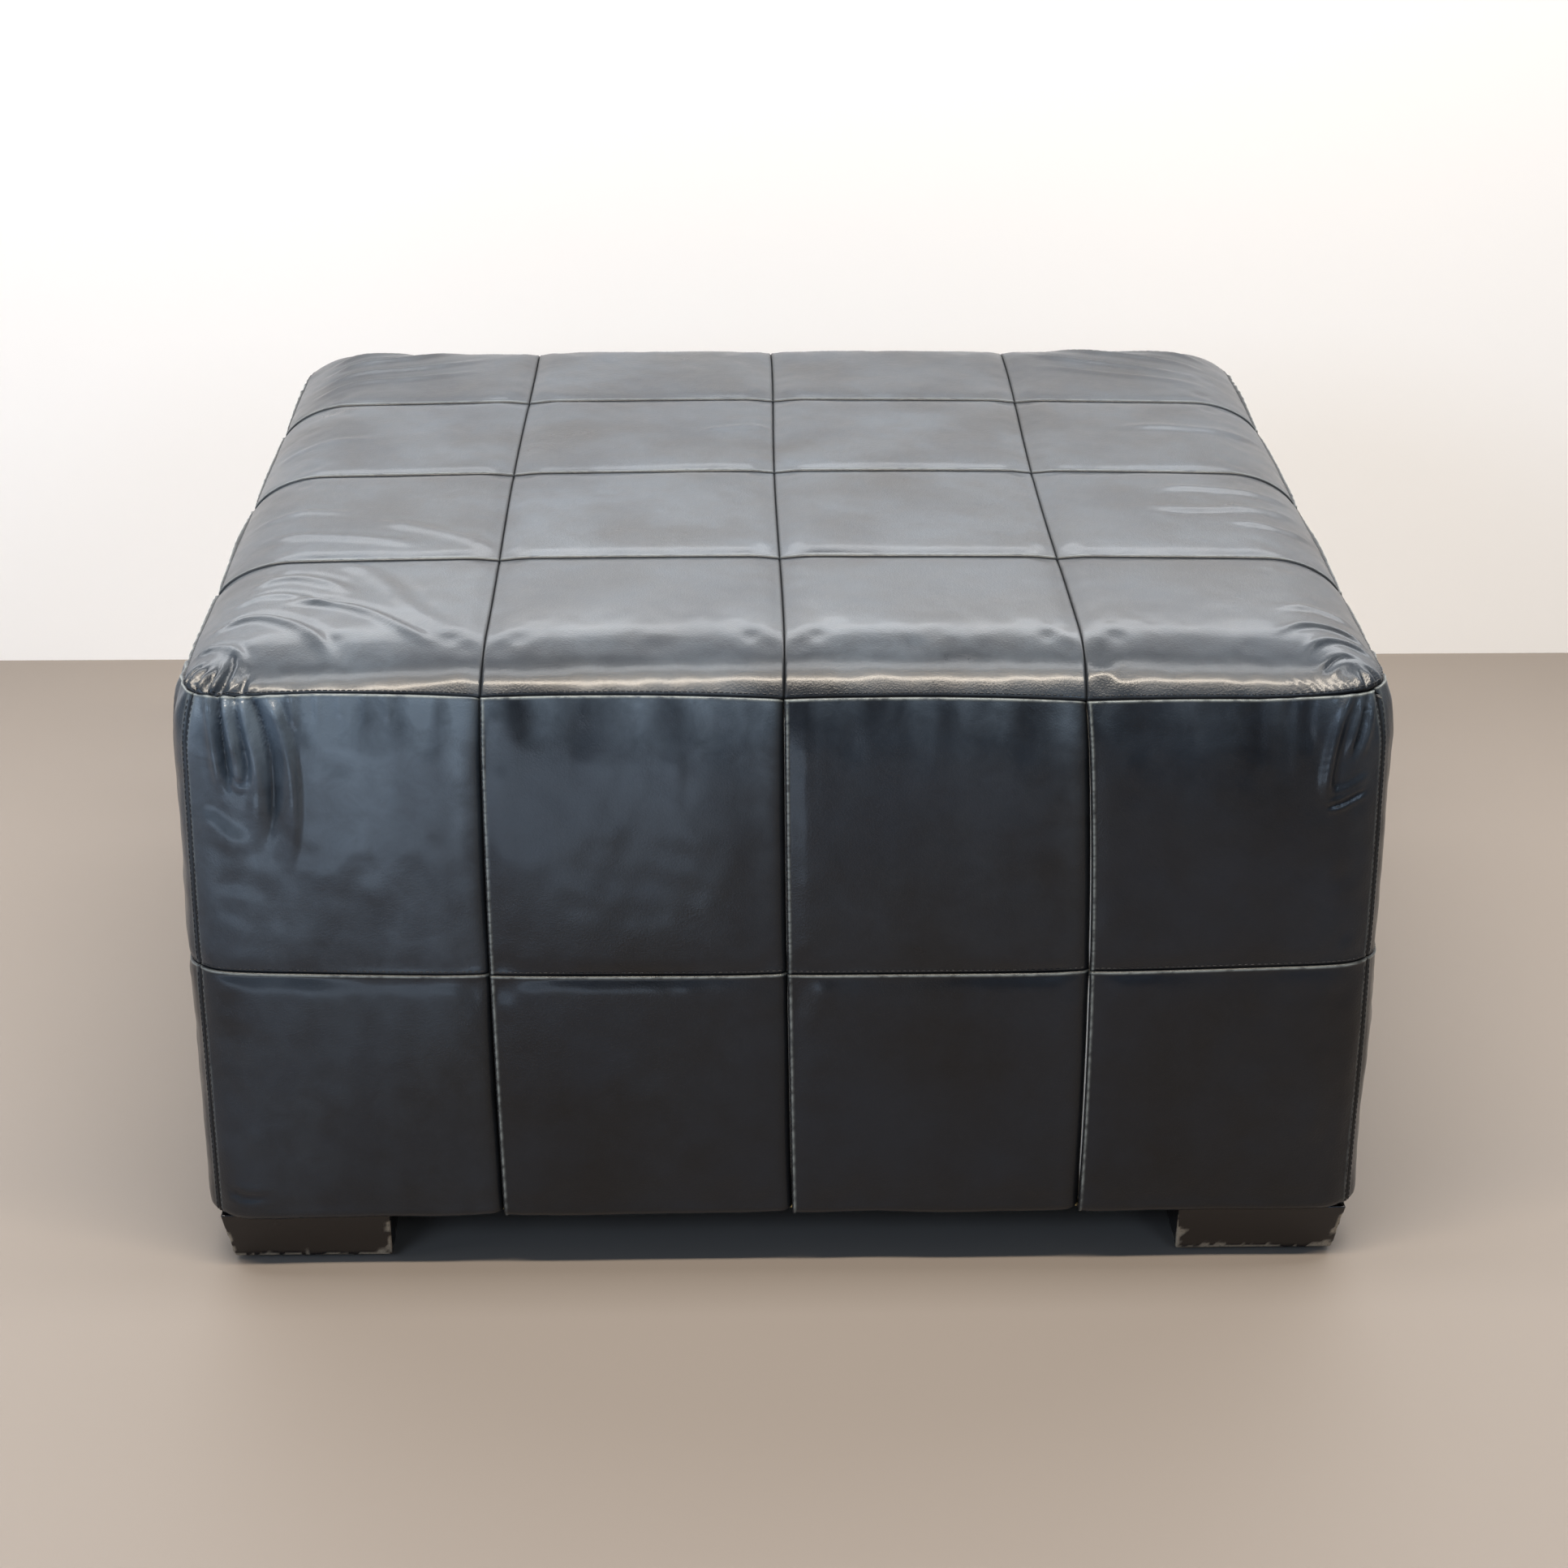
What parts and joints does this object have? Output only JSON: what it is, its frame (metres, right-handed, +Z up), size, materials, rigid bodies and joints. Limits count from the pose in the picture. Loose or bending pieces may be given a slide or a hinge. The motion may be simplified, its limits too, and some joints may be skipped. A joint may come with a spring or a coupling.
{
  "type": "square patchwork ottoman",
  "caption": "Low square block ottoman covered in black leather patches with padded edges, on short tapered block feet at the corners.",
  "frame": {"origin": "centre of the ottoman's footprint, on the floor", "axes": "+Z up, -Y towards the front side, +X to the right seen from the front; the block is square, so its four sides are alike"},
  "size_m": [0.816, 0.816, 0.458],
  "materials": {
    "black_leather": "semi-gloss finished leather, fine grain",
    "polyester_wadding": "soft bonded fibre",
    "upholstery_foam": "open-cell foam",
    "plywood": "unfinished",
    "hardboard": "unfinished",
    "pine": "unfinished, sawn",
    "lacquered_foot": "satin espresso lacquer, worn at the edges",
    "dust_cloth": "thin non-woven",
    "plated_steel": "zinc plated",
    "nylon_glide": "moulded"
  },
  "bodies": {
    "root": {"top_patch_a1": "black_leather", "top_patch_a2": "black_leather", "top_patch_a3": "black_leather", "top_patch_a4": "black_leather", "top_patch_b1": "black_leather", "top_patch_b2": "black_leather", "top_patch_b3": "black_leather", "top_patch_b4": "black_leather", "top_patch_c1": "black_leather", "top_patch_c2": "black_leather", "top_patch_c3": "black_leather", "top_patch_c4": "black_leather", "top_patch_d1": "black_leather", "top_patch_d2": "black_leather", "top_patch_d3": "black_leather", "top_patch_d4": "black_leather", "side_front_upper_patches": "black_leather", "side_front_lower_patches": "black_leather", "side_right_upper_patches": "black_leather", "side_right_lower_patches": "black_leather", "side_back_upper_patches": "black_leather", "side_back_lower_patches": "black_leather", "side_left_upper_patches": "black_leather", "side_left_lower_patches": "black_leather", "wadding_wrap": "polyester_wadding", "top_foam": "upholstery_foam", "side_foam_front": "upholstery_foam", "side_foam_right": "upholstery_foam", "side_foam_back": "upholstery_foam", "side_foam_left": "upholstery_foam", "plywood_deck": "plywood", "side_skin_front": "hardboard", "side_skin_right": "hardboard", "side_skin_back": "hardboard", "side_skin_left": "hardboard", "base_rail_front": "pine", "base_rail_right": "pine", "base_rail_back": "pine", "base_rail_left": "pine", "top_rail_front": "pine", "top_rail_right": "pine", "top_rail_back": "pine", "top_rail_left": "pine", "corner_post_front_left": "pine", "corner_post_front_right": "pine", "corner_post_back_right": "pine", "corner_post_back_left": "pine", "corner_blocks": "pine", "deck_bearers": "pine", "foot_front_left": "lacquered_foot", "foot_front_right": "lacquered_foot", "foot_back_right": "lacquered_foot", "foot_back_left": "lacquered_foot", "dust_cover": "dust_cloth", "hanger_bolts": "plated_steel", "tee_nuts": "plated_steel", "frame_screws": "plated_steel", "hem_staples": "plated_steel", "foot_glides": "nylon_glide"}
  },
  "joints": []
}
